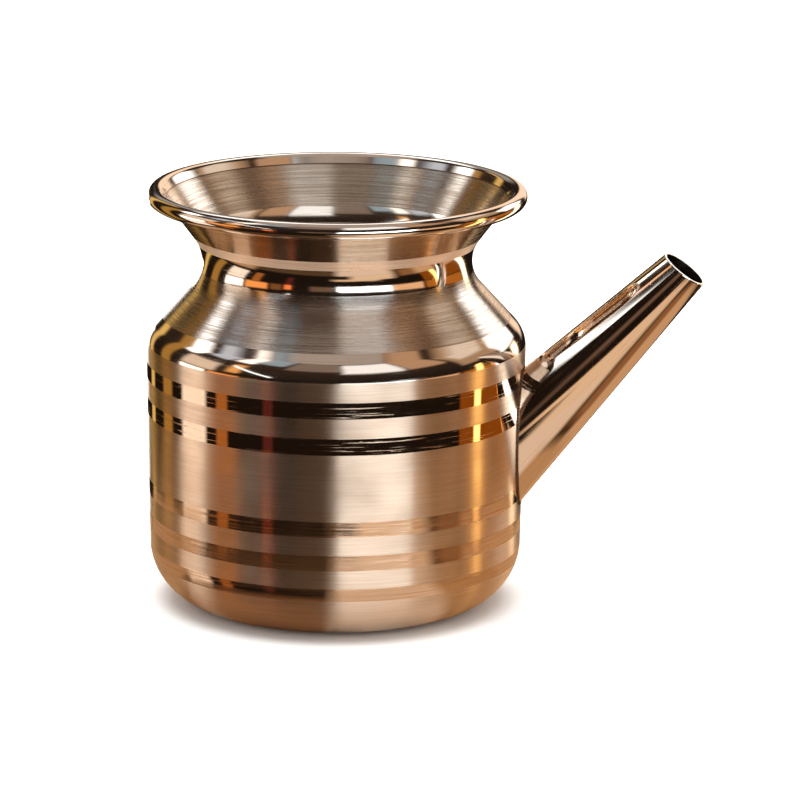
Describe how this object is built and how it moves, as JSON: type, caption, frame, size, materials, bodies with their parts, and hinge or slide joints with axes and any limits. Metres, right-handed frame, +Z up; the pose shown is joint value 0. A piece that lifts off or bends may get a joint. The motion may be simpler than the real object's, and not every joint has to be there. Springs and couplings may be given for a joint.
{
  "type": "spouted water pot",
  "caption": "Round metal water pot with a banded body, sloped shoulder, waisted neck, flared mouth with a rolled rim, and a straight tapered pouring spout.",
  "frame": {"origin": "centre of the flat base, on the floor plane, on the axis that the body is turned about", "axes": "+Z up along the turning axis, +X towards the spout, the XZ plane cuts the pot into two mirrored halves"},
  "size_m": [0.163, 0.111, 0.1233],
  "materials": {
    "satin_rose_steel": "satin, brushed round the body, with polished bands",
    "lathe_brushed_steel": "brushed on the lathe",
    "mirror_rose_steel": "mirror polished outside, brushed inside the mouth",
    "drawn_wire_steel": "drawn wire",
    "polished_spout_steel": "polished with fine hand scratches",
    "weld_bead_steel": "small rippled weld bead",
    "seam_bead_steel": "weld bead, left as welded"
  },
  "bodies": {
    "root": {"body_cup": "satin_rose_steel", "shoulder_cone": "lathe_brushed_steel", "neck_and_mouth": "mirror_rose_steel", "rim_wire": "drawn_wire_steel", "spout_cone": "polished_spout_steel", "spout_root_weld": "weld_bead_steel", "shoulder_seam_weld": "seam_bead_steel", "neck_seam_weld": "seam_bead_steel"}
  },
  "joints": []
}
